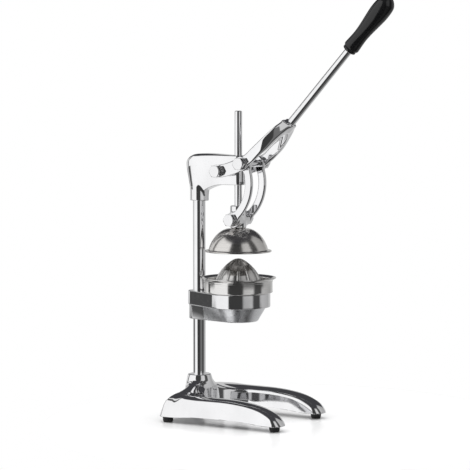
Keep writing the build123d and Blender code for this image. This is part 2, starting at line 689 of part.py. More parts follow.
# ---- lever fork: two arms outside the links that close into a collar for the lever rod ----
with BuildPart() as lever_fork:
    with BuildSketch(side_plane(40)):
        with BuildLine():
            top_edge = Spline(
                (LEVER_PIVOT[0] - 1, LEVER_PIVOT[1] + ARM_EYE_RADIUS),
                (PRESS_X + 8, 415.5),
                (PRESS_X + 29, 424.5),
                (PRESS_X + 56, 447.0),
                (PRESS_X + 76, 465.5),
                (COLLAR[0] - 6.6, COLLAR[1] + 5.9),
                tangents=[(1, 0.12), (cos(radians(LEVER_ANGLE)), sin(radians(LEVER_ANGLE)))],
            )
            collar_end = Line(top_edge @ 1, (COLLAR[0] + 6.4, COLLAR[1] - 5.8))
            bottom_edge = Spline(
                collar_end @ 1,
                (PRESS_X + 89, 457.5),
                (PRESS_X + 66, 432.0),
                (PRESS_X + 42, 411.0),
                (PRESS_X + 22, 397.3),
                (PRESS_X + 2, 390.0),
                (LEVER_PIVOT[0], LEVER_PIVOT[1] - ARM_EYE_RADIUS),
                tangents=[(-cos(radians(LEVER_ANGLE)), -sin(radians(LEVER_ANGLE))), (-1, 0)],
            )
            eye = ThreePointArc(
                bottom_edge @ 1,
                (LEVER_PIVOT[0] - ARM_EYE_RADIUS, LEVER_PIVOT[1]),
                top_edge @ 0,
            )
        make_face()
    extrude(amount=80)
    # seen from above: two arms that bow out a little, then close into the collar
    with BuildSketch(Plane.XY.offset(380)):
        with BuildLine():
            rear_x = LEVER_PIVOT[0] - 15
            right_straight = Line((rear_x, -ARM_OUTER_Y), (ARM_STRAIGHT_END_X, -ARM_OUTER_Y))
            right_outer = Spline(
                right_straight @ 1,
                (PRESS_X + 58, -ARM_OUTER_Y - 0.3),
                (PRESS_X + 74, -ARM_OUTER_Y + 5),
                (PRESS_X + 88, -16.5),
                (COLLAR[0] + 4, -COLLAR_RADIUS),
                tangents=[(1, 0), (1, 0.2)],
            )
            mirror(right_outer, about=Plane.XZ)
            mirror(right_straight, about=Plane.XZ)
            Polyline(
                right_outer @ 1,
                (COLLAR[0] + 20, -COLLAR_RADIUS),
                (COLLAR[0] + 20, COLLAR_RADIUS),
                (COLLAR[0] + 4, COLLAR_RADIUS),
            )
            Line((rear_x, -ARM_OUTER_Y), (rear_x, ARM_OUTER_Y))
        make_face()
        with BuildLine():
            right_inner_straight = Line((rear_x - 1, -ARM_INNER_Y), (ARM_STRAIGHT_END_X, -ARM_INNER_Y))
            right_inner = Spline(
                right_inner_straight @ 1,
                (PRESS_X + 52, -ARM_INNER_Y),
                (PRESS_X + 68, -21.0),
                (PRESS_X + 80, -9.0),
                (PRESS_X + 85, 0),
                tangents=[(1, 0), (0, 1)],
            )
            mirror(right_inner, about=Plane.XZ)
            mirror(right_inner_straight, about=Plane.XZ)
            Line((rear_x - 1, -ARM_INNER_Y), (rear_x - 1, ARM_INNER_Y))
        make_face(mode=Mode.SUBTRACT)
    extrude(amount=120, mode=Mode.INTERSECT)
    # collar and its socket for the lever rod
    with BuildSketch(lever_plane(-COLLAR_LENGTH)):
        Circle(COLLAR_RADIUS)
    extrude(amount=COLLAR_LENGTH)
    with BuildSketch(lever_plane(-11.5)):
        Circle(LEVER_ROD_FOOT_RADIUS + POST_FIT)
    extrude(amount=20, mode=Mode.SUBTRACT)
    # pivot eyes
    for pivot in (LEVER_PIVOT, LINK_TOP):
        with BuildSketch(along_y(pivot[0], pivot[1], 45)):
            Circle(PIVOT_BOLT_RADIUS + BOLT_FIT)
        extrude(amount=90, mode=Mode.SUBTRACT)
save(lever_fork, "lever_fork")

# ---- lever rod and grip ----
with BuildPart() as lever_rod:
    with BuildSketch(lever_plane(-11.3)):
        Circle(LEVER_ROD_FOOT_RADIUS)
    with BuildSketch(lever_plane(GRIP_START)):
        Circle(LEVER_ROD_TIP_RADIUS)
    loft()
    with BuildSketch(lever_plane(GRIP_START)):
        Circle(LEVER_ROD_TIP_RADIUS)
    extrude(amount=GRIP_BORE_DEPTH - 0.5)
save(lever_rod, "lever_rod")

with BuildPart() as handle_grip:
    grip_plane = Plane(
        origin=lever_plane(GRIP_START).origin, x_dir=lever_plane(0).z_dir, z_dir=(0, -1, 0)
    )
    with BuildSketch(grip_plane):
        with BuildLine():
            lip = Polyline((0, 0), (0, 9.2), (1.2, 10.6), (4.2, 10.6), (5.2, 10.0), (6.2, 12.4))
            body = Spline(
                lip @ 1,
                (16, 11.9),
                (30, 11.2),
                (46, 12.2),
                (62, 14.2),
                (78, 15.3),
                (92, 14.0),
                (101.5, 9.4),
                (GRIP_LENGTH, 0),
                tangents=[(1, 0), (0, -1)],
            )
            Line(body @ 1, (0, 0))
        make_face()
    revolve(axis=Axis(grip_plane.origin, lever_plane(0).z_dir))
    with BuildSketch(lever_plane(GRIP_START - 1)):
        Circle(LEVER_ROD_TIP_RADIUS + POST_FIT)
    extrude(amount=GRIP_BORE_DEPTH + 1, mode=Mode.SUBTRACT)
save(handle_grip, "handle_grip")


# ---- pivot hardware ----
def hex_bolt(pivot, shank_radius, seat_y, head_height, length):
    """A bolt along Y: its head lies from -seat_y outwards, and its shank runs towards +Y."""
    with BuildPart() as bolt:
        with BuildSketch(along_y(pivot[0], pivot[1], -seat_y)):
            RegularPolygon(radius=HEX_FLATS / 2, side_count=6, major_radius=False)
        extrude(amount=head_height)
        # rounded crown of the head
        with BuildSketch(along_y(pivot[0], pivot[1], -seat_y)):
            Circle(HEX_FLATS / 2 + 0.9)
        extrude(amount=head_height, taper=8, mode=Mode.INTERSECT)
        with BuildSketch(along_y(pivot[0], pivot[1], length - seat_y)):
            Circle(shank_radius)
        extrude(amount=length)
    return bolt


def rings(pivot, inner, outer, high_sides, width):
    """Washers or spacers around one pivot, each from its high side towards -Y."""
    with BuildPart() as group:
        for y_high in high_sides:
            with BuildSketch(along_y(pivot[0], pivot[1], y_high)):
                Circle(outer)
                Circle(inner, mode=Mode.SUBTRACT)
            extrude(amount=width)
    return group


def hex_nut(pivot, shank_radius, seat_y, height):
    """A nut on the +Y side, from seat_y outwards."""
    with BuildPart() as nut:
        with BuildSketch(along_y(pivot[0], pivot[1], seat_y + height)):
            RegularPolygon(radius=HEX_FLATS / 2, side_count=6, major_radius=False)
            Circle(shank_radius + POST_FIT, mode=Mode.SUBTRACT)
        extrude(amount=height)
    return nut


lever_pivot_bolt = hex_bolt(
    LEVER_PIVOT, PIVOT_BOLT_RADIUS, ARM_SEAT_Y, ARM_HEAD_HEIGHT, 2 * ARM_SEAT_Y + ARM_NUT_HEIGHT
)
save(lever_pivot_bolt, "lever_pivot_bolt")
lever_pivot_nut = hex_nut(LEVER_PIVOT, PIVOT_BOLT_RADIUS, ARM_SEAT_Y, ARM_NUT_HEIGHT)
save(lever_pivot_nut, "lever_pivot_nut")

# half width of the head's web where the pivot crosses it
web_taper = (HEAD_REAR_RADIUS - BOSS_RADIUS) / (PRESS_X - POST_X)
web_half_width = BOSS_RADIUS + (PRESS_X - LEVER_PIVOT[0]) * web_taper + 1.2

lever_pivot_washers = rings(
    LEVER_PIVOT,
    PIVOT_BOLT_RADIUS + BOLT_FIT,
    WASHER_RADIUS,
    [ARM_SEAT_Y, -ARM_OUTER_Y - SIDE_PLAY],
    ARM_WASHER - SIDE_PLAY,
)
save(lever_pivot_washers, "lever_pivot_washers")

spacer_width = ARM_INNER_Y - SIDE_PLAY - web_half_width
lever_pivot_spacers = rings(
    LEVER_PIVOT,
    PIVOT_BOLT_RADIUS + BOLT_FIT,
    8.0,
    [ARM_INNER_Y - SIDE_PLAY, -web_half_width],
    spacer_width,
)
save(lever_pivot_spacers, "lever_pivot_spacers")

link_top_bolt = hex_bolt(
    LINK_TOP, PIVOT_BOLT_RADIUS, ARM_SEAT_Y, ARM_HEAD_HEIGHT, 2 * ARM_SEAT_Y + ARM_NUT_HEIGHT
)
save(link_top_bolt, "link_top_bolt")
link_top_nut = hex_nut(LINK_TOP, PIVOT_BOLT_RADIUS, ARM_SEAT_Y, ARM_NUT_HEIGHT)
save(link_top_nut, "link_top_nut")

link_top_washers = rings(
    LINK_TOP, PIVOT_BOLT_RADIUS + BOLT_FIT, WASHER_RADIUS, [ARM_SEAT_Y, -ARM_OUTER_Y], ARM_WASHER
)
save(link_top_washers, "link_top_washers")

link_top_spacer = rings(
    LINK_TOP,
    PIVOT_BOLT_RADIUS + BOLT_FIT,
    6.2,
    [LINK_INNER_Y - SIDE_PLAY],
    2 * (LINK_INNER_Y - SIDE_PLAY),
)
save(link_top_spacer, "link_top_spacer")

link_bottom_bolt = hex_bolt(
    LINK_BOTTOM, LINK_BOLT_RADIUS, LINK_SEAT_Y, LINK_HEAD_HEIGHT, 2 * LINK_SEAT_Y + LINK_HEAD_HEIGHT
)
save(link_bottom_bolt, "link_bottom_bolt")
link_bottom_nut = hex_nut(LINK_BOTTOM, LINK_BOLT_RADIUS, LINK_SEAT_Y, LINK_HEAD_HEIGHT)
save(link_bottom_nut, "link_bottom_nut")

link_bottom_washers = rings(
    LINK_BOTTOM, LINK_BOLT_RADIUS + BOLT_FIT, 10.0, [LINK_SEAT_Y, -LINK_OUTER_Y], LINK_WASHER
)
save(link_bottom_washers, "link_bottom_washers")
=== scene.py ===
import itertools
import json
import math

import bpy
import numpy as np
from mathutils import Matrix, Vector


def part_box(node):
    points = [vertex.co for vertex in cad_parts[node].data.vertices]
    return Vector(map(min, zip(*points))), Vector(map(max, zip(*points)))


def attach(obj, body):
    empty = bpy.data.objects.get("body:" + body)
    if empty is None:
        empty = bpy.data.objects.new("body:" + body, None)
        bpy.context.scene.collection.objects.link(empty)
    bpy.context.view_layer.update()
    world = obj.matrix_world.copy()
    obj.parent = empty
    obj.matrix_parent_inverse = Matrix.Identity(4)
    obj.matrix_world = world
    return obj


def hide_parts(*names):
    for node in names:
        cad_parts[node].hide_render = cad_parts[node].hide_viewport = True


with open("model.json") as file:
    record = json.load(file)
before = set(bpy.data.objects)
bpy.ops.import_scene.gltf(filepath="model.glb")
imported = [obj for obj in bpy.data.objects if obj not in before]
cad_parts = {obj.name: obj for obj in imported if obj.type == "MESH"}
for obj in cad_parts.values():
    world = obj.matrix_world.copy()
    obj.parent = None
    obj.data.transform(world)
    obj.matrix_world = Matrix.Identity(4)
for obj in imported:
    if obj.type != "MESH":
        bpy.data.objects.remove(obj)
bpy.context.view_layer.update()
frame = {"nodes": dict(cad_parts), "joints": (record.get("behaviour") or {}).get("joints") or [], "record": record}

# Everything below is worked out in millimetres, with x measured from the plunger's axis,
# and turned into metres in the row frame when a mesh is made.
MM = 1000.0


def cad(node):
    """A CAD node's box in millimetres, with x measured from the plunger's axis."""
    low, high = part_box(node)
    return (np.array(low) * MM - [PX, 0, 0], np.array(high) * MM - [PX, 0, 0])


rod_low, rod_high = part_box("plunger_rod")
PX = (rod_low.x + rod_high.x) / 2 * MM
ROD_TOP = rod_high.z * MM
ROD_FOOT = rod_low.z * MM

post_low, post_high = cad("post_tube")
POST = (post_low[0] + post_high[0]) / 2
joints = {j["name"]: j for j in frame["joints"]}
lever_pos = joints["lever_hinge"]["pos_m"]
link_pos = joints["link_hinge"]["pos_m"]
LEVER_PIVOT = (lever_pos[0] * MM - PX, lever_pos[2] * MM)
LINK_TOP = (link_pos[0] * MM - PX, link_pos[2] * MM)
low, high = cad("link_bottom_bolt")
LINK_BOTTOM = ((low[0] + high[0]) / 2, (low[2] + high[2]) / 2)


# ---------------------------------------------------------------- mesh tools
def mesh_object(name, points, faces, normals=None, sharp=None):
    """A smooth-shaded mesh from points in millimetres."""
    mesh = bpy.data.meshes.new(name)
    placed = (np.asarray(points, float) + [PX, 0, 0]) / MM
    mesh.from_pydata(placed.tolist(), [], [list(map(int, f)) for f in faces])
    mesh.shade_smooth()
    if normals is not None:
        mesh.normals_split_custom_set_from_vertices(normals.tolist())
    if sharp is not None:
        mesh.set_sharp_from_angle(angle=math.radians(sharp))
    made = bpy.data.objects.new(name, mesh)
    bpy.context.scene.collection.objects.link(made)
    return made


def slope_at(field, point, reach):
    """The field's value and gradient at each point."""
    slope = np.empty_like(point)
    for axis in range(3):
        ahead = point.copy()
        behind = point.copy()
        ahead[:, axis] += reach
        behind[:, axis] -= reach
        slope[:, axis] = (field(*ahead.T) - field(*behind.T)) / (2 * reach)
    return field(*point.T), slope


def surface_net(name, field, low, high, step, soften=0.08):
    """The surface where a signed distance field is zero, as an even net of quads with true normals."""
    axes = [np.arange(low[i] - 1.5 * step, high[i] + 1.6 * step, step) for i in range(3)]
    grid = (axes[0][:, None, None], axes[1][None, :, None], axes[2][None, None, :])
    solid = np.broadcast_to(field(*grid), [len(a) for a in axes]) < 0
    n = [len(a) - 1 for a in axes]
    count = np.zeros(n, np.int8)
    for i, j, k in itertools.product((0, 1), repeat=3):
        count += solid[i:n[0] + i, j:n[1] + j, k:n[2] + k]
    crossed = (count > 0) & (count < 8)
    number = np.full(n, -1)
    number[crossed] = np.arange(crossed.sum())
    cell = np.argwhere(crossed)
    centre = np.stack([axes[i][cell[:, i]] + step / 2 for i in range(3)], axis=1)
    point = centre.copy()
    for _ in range(5):
        value, slope = slope_at(field, point, 0.05)
        size = np.maximum((slope ** 2).sum(axis=1), 0.05)
        point = np.clip(point - slope * (value / size)[:, None], centre - 0.8 * step, centre + 0.8 * step)
    slope = slope_at(field, point, soften)[1]
    normals = slope / np.maximum(np.linalg.norm(slope, axis=1), 1e-9)[:, None]
    faces = []
    for axis in range(3):
        u, v = (axis + 1) % 3, (axis + 2) % 3
        near = np.take(solid, range(n[axis]), axis)
        far = np.take(solid, range(1, n[axis] + 1), axis)
        edge = np.argwhere(near != far)
        inner = (edge[:, u] > 0) & (edge[:, u] < n[u]) & (edge[:, v] > 0) & (edge[:, v] < n[v])
        edge = edge[inner]
        ring = []
        for du, dv in ((-1, -1), (0, -1), (0, 0), (-1, 0)):
            at = edge.copy()
            at[:, u] += du
            at[:, v] += dv
            ring.append(number[tuple(at.T)])
        quad = np.stack(ring, axis=1)
        outward = near[tuple(edge.T)]
        faces.append(np.where(outward[:, None], quad, quad[:, ::-1]))
    return mesh_object(name, point, np.concatenate(faces), normals)


def frame_along(axis):
    """Two unit vectors square to an axis, and the axis."""
    axis = np.array(axis, float) / np.linalg.norm(axis)
    side = np.cross([0, 1, 0], axis) if abs(axis[1]) < 0.9 else np.array([1.0, 0, 0])
    side /= np.linalg.norm(side)
    return side, np.cross(axis, side), axis


def turned(name, parts, segments=144, sharp=38):
    """Surfaces of revolution in one mesh. Each part is (origin, axis, profile), and a profile is
    a list of (radius, height), closed onto itself unless it starts and ends on the axis."""
    points = []
    faces = []
    for origin, axis, profile in parts:
        side, up, along = frame_along(axis)
        profile = [tuple(p) for p in profile]
        closed = profile[0][0] > 1e-6 or profile[-1][0] > 1e-6
        rows = []
        for radius, height in profile:
            start = len(points)
            if radius < 1e-6:
                points.append(np.array(origin) + along * height)
                rows.append([start] * segments)
                continue
            for s in range(segments):
                turn = 2 * math.pi * s / segments
                reach = side * math.cos(turn) + up * math.sin(turn)
                points.append(np.array(origin) + along * height + reach * radius)
            rows.append(list(range(start, start + segments)))
        pairs = list(zip(rows, rows[1:])) + ([(rows[-1], rows[0])] if closed else [])
        for a, b in pairs:
            for s in range(segments):
                t = (s + 1) % segments
                face = [a[s], a[t], b[t], b[s]]
                face = [v for i, v in enumerate(face) if v not in face[:i]]
                if len(face) > 2:
                    faces.append(face)
    return mesh_object(name, points, faces, sharp=sharp)


def rounded(corners, steps=5):
    """A profile whose corners (a, b, radius) are rounded off."""
    corners = [tuple(c) + (0,) * (3 - len(c)) for c in corners]
    path = []
    last = len(corners) - 1
    for i, (a, b, radius) in enumerate(corners):
        if radius <= 0 or i in (0, last):
            path.append((a, b))
            continue
        here = np.array([a, b], float)
        back = np.array(corners[i - 1][:2]) - here
        ahead = np.array(corners[i + 1][:2]) - here
        back_length, ahead_length = np.linalg.norm(back), np.linalg.norm(ahead)
        back, ahead = back / back_length, ahead / ahead_length
        half = math.acos(np.clip(back @ ahead, -1, 1)) / 2
        cut = min(radius / math.tan(half), 0.49 * back_length, 0.49 * ahead_length)
        for s in range(steps + 1):
            t = s / steps
            path.append(tuple(here + back * cut * (1 - t) ** 2 + ahead * cut * t ** 2))
    return path


def flowing(points, per_span=6):
    """A smooth curve through points."""
    p = np.array(points, float)
    p = np.vstack([2 * p[0] - p[1], p, 2 * p[-1] - p[-2]])
    path = []
    for i in range(1, len(p) - 2):
        for s in range(per_span):
            t = s / per_span
            a = 2 * p[i]
            b = (p[i + 1] - p[i - 1]) * t
            c = (2 * p[i - 1] - 5 * p[i] + 4 * p[i + 1] - p[i + 2]) * t ** 2
            d = (3 * p[i] - p[i - 1] - 3 * p[i + 1] + p[i + 2]) * t ** 3
            path.append(tuple((a + b + c + d) / 2))
    path.append(tuple(p[-2]))
    return path


# ---------------------------------------------------------------- signed distance fields, in millimetres
def both(a, b, r):
    """Where both solids are, with the convex edge between them rounded to radius r."""
    return np.minimum(np.maximum(a, b), -r) + np.hypot(np.maximum(a + r, 0), np.maximum(b + r, 0))


def either(a, b, r):
    """Where either solid is, with a fillet of radius r between them."""
    return np.maximum(np.minimum(a, b), r) - np.hypot(np.maximum(r - a, 0), np.maximum(r - b, 0))


def eased(value, start, end):
    t = np.clip((value - start) / (end - start), 0, 1)
    return t * t * (3 - 2 * t)


def hull(x, y, x1, r1, x2, r2):
    """Outline round two circles on the x axis."""
    run = x2 - x1
    lean = (r1 - r2) / run
    level = np.sqrt(1 - lean * lean)
    side = np.abs(y)
    reach = -lean * side + level * (x - x1)
    first = np.hypot(x - x1, side) - r1
    second = np.hypot(x - x2, side) - r2
    flat = level * side + lean * (x - x1) - r1
    return np.where(reach < 0, first, np.where(reach > level * run, second, flat))


def outline(u, v, points):
    """Signed distance to a closed outline in a plane."""
    u, v = np.broadcast_arrays(u, v)
    best = np.full(u.shape, 1e18)
    odd = np.zeros(u.shape, bool)
    for (ax, ay), (bx, by) in zip(points, points[1:] + points[:1]):
        ex, ey = bx - ax, by - ay
        wx, wy = u - ax, v - ay
        t = np.clip((wx * ex + wy * ey) / max(ex * ex + ey * ey, 1e-12), 0, 1)
        best = np.minimum(best, (wx - ex * t) ** 2 + (wy - ey * t) ** 2)
        if abs(ey) > 1e-12:
            odd ^= ((ay > v) != (by > v)) & (u < ex * (v - ay) / ey + ax)
    return np.sqrt(best) * np.where(odd, -1.0, 1.0)


def slab(value, low, high):
    return np.maximum(low - value, value - high)


# ---------------------------------------------------------------- materials
class Graph:
    """A material's nodes."""

    def __init__(self, name, **shader):
        self.material = bpy.data.materials.new(name)
        self.material.use_nodes = True
        self.tree = self.material.node_tree
        self.shader = self.tree.nodes["Principled BSDF"]
        for socket, value in shader.items():
            self.shader.inputs[socket.replace("_", " ")].default_value = value
        self.where = self.add("ShaderNodeTexCoord").outputs["Object"]

    def add(self, kind, inputs=None, **settings):
        node = self.tree.nodes.new(kind)
        for key, value in settings.items():
            setattr(node, key, value)
        for key, value in (inputs or {}).items():
            if isinstance(value, bpy.types.NodeSocket):
                self.tree.links.new(value, node.inputs[key])
            else:
                node.inputs[key].default_value = value
        return node

    def noise(self, scale, detail=2.0, stretch=(1, 1, 1), turn=(0, 0, 0), roughness=0.5):
        placed = self.add("ShaderNodeMapping", {"Vector": self.where, "Scale": stretch, "Rotation": turn})
        made = self.add(
            "ShaderNodeTexNoise",
            {"Vector": placed.outputs[0], "Scale": scale, "Detail": detail, "Roughness": roughness},
        )
        return made.outputs["Fac"]

    def shade(self, fac, stops, out):
        """A colour or grey ramp from a factor into one of the shader's sockets."""
        ramp = self.add("ShaderNodeValToRGB", {"Fac": fac})
        while len(ramp.color_ramp.elements) < len(stops):
            ramp.color_ramp.elements.new(0.5)
        for element, (place, colour) in zip(ramp.color_ramp.elements, stops):
            colour = colour if isinstance(colour, tuple) else (colour,) * 3
            element.position = place
            element.color = (*colour, 1)
        if out:
            self.tree.links.new(ramp.outputs["Color"], self.shader.inputs[out])
        return ramp.outputs["Color"]

    def bump(self, layers):
        """Layers of (height, strength, distance in metres), one on the next."""
        normal = None
        for height, strength, distance in layers:
            inputs = {"Height": height, "Strength": strength, "Distance": distance}
            if normal is not None:
                inputs["Normal"] = normal
            normal = self.add("ShaderNodeBump", inputs).outputs["Normal"]
        self.tree.links.new(normal, self.shader.inputs["Normal"])


def polished(name, tone, wave, haze):
    """Chrome plate: slow waves of the casting under it, haze from handling and fine polishing lines."""
    g = Graph(name, Metallic=1.0, IOR=2.4)
    smear = g.noise(38, 4, (1, 1, 0.6))
    g.shade(smear, [(0.30, tuple(c * 0.93 for c in tone)), (0.70, tone)], "Base Color")
    g.shade(g.noise(120, 5, (1, 1, 0.5)), [(0.35, haze), (0.75, haze * 2.2)], "Roughness")
    g.bump([(g.noise(26, 1), 0.5, wave), (g.noise(1400, 2), 0.1, 0.000004)])
    return g.material


def spun(name, tone, rough, line):
    """Stainless steel turned on a lathe: fine rings, a few deeper ones, and slow changes of tone."""
    g = Graph(name, Metallic=1.0)
    rings = g.noise(1, 6, (14, 14, 2600), roughness=0.75)
    broad = g.noise(1, 3, (5, 5, 330))
    g.shade(rings, [(0.25, tuple(c * 0.82 for c in tone)), (0.75, tone)], "Base Color")
    g.shade(broad, [(0.3, rough), (0.7, rough * 1.5)], "Roughness")
    g.bump([(rings, line, 0.00006), (g.noise(40, 2), 0.2, 0.0003)])
    return g.material


def satin(name, tone, rough):
    """A tumbled casting: even fine grain and faint smears."""
    g = Graph(name, Metallic=1.0)
    g.shade(g.noise(60, 5), [(0.3, tuple(c * 0.85 for c in tone)), (0.7, tone)], "Base Color")
    g.shade(g.noise(200, 4), [(0.3, rough * 0.85), (0.7, rough * 1.2)], "Roughness")
    g.bump([(g.noise(2600, 3), 0.25, 0.00005), (g.noise(32, 2), 0.4, 0.0005)])
    return g.material


def moulded(name, tone, rough, grain_scale, grain_depth):
    """Moulded plastic or rubber: fine texture, and tone that is darker in places at random."""
    g = Graph(name)
    dark = tuple(c * 0.7 for c in tone)
    g.shade(g.noise(45, 5), [(0.35, dark), (0.75, tone)], "Base Color")
    g.shade(g.noise(90, 5), [(0.3, rough * 0.8), (0.7, rough * 1.3)], "Roughness")
    g.bump([(g.noise(grain_scale, 3), 0.3, grain_depth), (g.noise(70, 2), 0.25, 0.0002)])
    return g.material


CHROME_CASTING = polished("ChromeCasting", (0.90, 0.90, 0.91), 0.00012, 0.04)
CHROME_TUBE = polished("ChromeTube", (0.90, 0.90, 0.91), 0.00003, 0.03)
CHROME_LINK = polished("ChromeLink", (0.90, 0.90, 0.91), 0.00008, 0.04)
CHROME_HARDWARE = polished("ChromeHardware", (0.88, 0.88, 0.89), 0.00006, 0.05)
POLISHED_BAND = polished("PolishedBand", (0.86, 0.86, 0.87), 0.0001, 0.05)
SATIN_SKIRT = satin("SatinSkirt", (0.90, 0.91, 0.93), 0.30)
ZINC = satin("ZincSteel", (0.60, 0.61, 0.63), 0.30)
SPUN_BOWL = spun("SpunBowl", (0.84, 0.83, 0.82), 0.09, 0.05)
SPUN_DOME = spun("SpunDome", (0.78, 0.76, 0.74), 0.15, 0.06)
SPUN_STRAINER = spun("SpunStrainer", (0.70, 0.69, 0.68), 0.16, 0.08)
BRONZE = satin("SinteredBronze", (0.60, 0.43, 0.24), 0.42)
RUBBER = moulded("BlackRubber", (0.022, 0.022, 0.023), 0.72, 1500, 0.0001)
GRIP = moulded("BlackGrip", (0.012, 0.012, 0.013), 0.14, 2200, 0.00002)


def piece(made, body, nodes, slot, *materials):
    for material in materials:
        made.data.materials.append(material)
    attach(made, body)
    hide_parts(*nodes)
    return made


# ---------------------------------------------------------------- base
base_low, base_high = cad("base_casting")
HUB_TOP = base_high[2]
BASE_FLOOR = base_low[2]
HALF_WIDTH = base_high[1]
REAR = base_low[0]
TOE = base_high[0]
GAP = 51.0
BASE_WALL = 5.0
feet_low, feet_high = cad("rubber_feet")
FOOT_TOP = 8.5
feet_y = {m["name"]: m["pos_m"][1] * MM for m in frame["record"]["mounts"]}
FEET = [
    (feet_low[0] + FOOT_TOP if "rear" in name else feet_high[0] - FOOT_TOP, y) for name, y in feet_y.items()
]


def base_plan(x, y, inset):
    """The horseshoe seen from above, inset by a wall."""
    side = np.abs(y) - (HALF_WIDTH - 3.5 * np.clip((x - REAR - 40) / 137, 0, 1) - inset)
    ends = np.maximum(x - TOE + inset, REAR + inset - x)
    corner = np.where(x > 0, 16.5, 10.0) - inset
    outside = both(ends, side, corner)
    strip = np.maximum(np.abs(y) - GAP, -x)
    gap = np.minimum(np.hypot(x, y) - GAP, strip) - inset
    return both(outside, -gap, 16.0 - inset)


def base_top(x, y):
    """Height of the crown: level over the rear, falling to the toes, with a saddle up to the hub."""
    fore = np.maximum(x - 12, 0) / 109
    along = 43.4 - 16.5 * fore ** 2 - 13.9 * fore ** 6 - 2.0 * (np.minimum(x + 40, 0) / 60) ** 2
    away = np.hypot(x - POST, y)
    across = np.clip((np.abs(y) - 70) / 19, -1, 1)
    reach = 13 + 13 * eased(-x, 42, 76)
    return along - 4.2 * across ** 2 * eased(x, -70, -20) + 12.5 * np.exp(-np.maximum(away - 23, 0) / reach)


def base_field(x, y, z):
    draft = 0.04 + 0.08 * eased(x, 60, 100) + 0.30 * eased(-x, 52, 92)
    lean = draft * np.maximum(z - BASE_FLOOR, 0)
    plan = base_plan(x, y, 0.0) + lean
    edge = 5.0 + 13.0 * eased(-x, 48, 74) + 4.0 * eased(x, 60, 105)
    skin = both(plan, z - base_top(x, y), edge)
    arch = BASE_FLOOR + 3.6 * eased(88 - np.abs(x - 10), 0, 60)
    inner = both(base_plan(x, y, BASE_WALL) + lean, z - base_top(x, y) + BASE_WALL, edge - 3.0)
    away = np.hypot(x - POST, y)
    core = away - 18.6
    hub = away - (18.6 + np.clip(HUB_TOP - z, 0, 19) * 0.3)
    outer = either(skin, both(hub, REAR + 8 - x, 3.0), 6.0)
    outer = both(outer, z - HUB_TOP, 1.2)
    bosses = np.minimum.reduce([np.hypot(x - fx, y - fy) for fx, fy in FEET]) - 7.6
    pocket = np.maximum(inner, -np.minimum(core, bosses))
    floor = np.where(bosses < 3, BASE_FLOOR, arch)
    shell = np.maximum(outer, -pocket)
    recess = np.maximum(away - 11.5, z - BASE_FLOOR - 3.2)
    return np.maximum(both(shell, floor - z, 0.8), -recess)


piece(
    surface_net(
        "base_shell", base_field, (REAR, -HALF_WIDTH, BASE_FLOOR), (TOE, HALF_WIDTH, HUB_TOP), 1.35, 0.6
    ),
    "frame", ["base_casting"], "chrome_casting", CHROME_CASTING,
)

foot = rounded([
    (0, 1.6), (4.6, 1.6, 0.4), (4.6, 0, 0.6), (7.4, 0, 1.2), (7.7, 2.2, 0.5), (8.0, 2.2, 0.3),
    (8.5, 9.0, 0.4), (8.0, 9.0), (0, 9.0),
])
piece(
    turned("feet", [((x, y, 0), (0, 0, 1), foot) for x, y in FEET], 72),
    "frame", ["rubber_feet"], "black_rubber", RUBBER,
)

# ---------------------------------------------------------------- post
piece(
    turned("post", [((POST, 0, 0), (0, 0, 1), rounded([
        (0, post_low[2]), (10, post_low[2], 0.5), (10, post_high[2], 0.5), (0, post_high[2]),
    ]))], 192),
    "frame", ["post_tube"], "chrome_tube", CHROME_TUBE,
)

# ---------------------------------------------------------------- bracket
bracket_low, bracket_high = cad("bracket_casting")
BAND_TOP = bracket_high[2]
BAND_FOOT = BAND_TOP - 22.5
SKIRT_FOOT = bracket_low[2]


def bracket_field(x, y, z):
    band = both(hull(x, y, POST, 17.7, 0.0, 51.0), slab(z, BAND_FOOT, BAND_TOP), 1.3)
    rise = np.clip((z - SKIRT_FOOT) / (BAND_FOOT - SKIRT_FOOT), -0.1, 1.1)
    ring = 31.0 + 13.5 * rise
    skirt = both(hull(x, y, POST, 16.2, 0.0, ring) * 0.9, slab(z, SKIRT_FOOT, BAND_FOOT + 4), 1.2)
    solid = either(band, skirt, 1.0)
    away = np.hypot(x, y)
    seat = np.maximum(away - 48.0, BAND_FOOT - z)
    cone = np.maximum((away - ring + 3.0) * 0.87, z - BAND_FOOT - 1)
    solid = both(solid, -np.minimum(seat, cone), 0.7)
    screws = np.minimum(np.hypot(y, z - SKIRT_FOOT - 11), np.hypot(y, z - BAND_TOP + 11)) - 3.1
    return np.maximum(solid, -np.maximum(screws, x - POST + 10))


bracket = surface_net(
    "bowl_bracket", bracket_field, (POST - 17.7, -51, SKIRT_FOOT), (51, 51, BAND_TOP), 1.15
)
piece(bracket, "frame", ["bracket_casting"], "polished_bracket", POLISHED_BAND, SATIN_SKIRT)
for polygon in bracket.data.polygons:
    centre = polygon.center * MM
    inside_ring = math.hypot(centre.x - PX, centre.y) < 47.5
    if (centre.z < BAND_FOOT - 0.4 and centre.x - PX > POST + 22) or inside_ring:
        polygon.material_index = 1

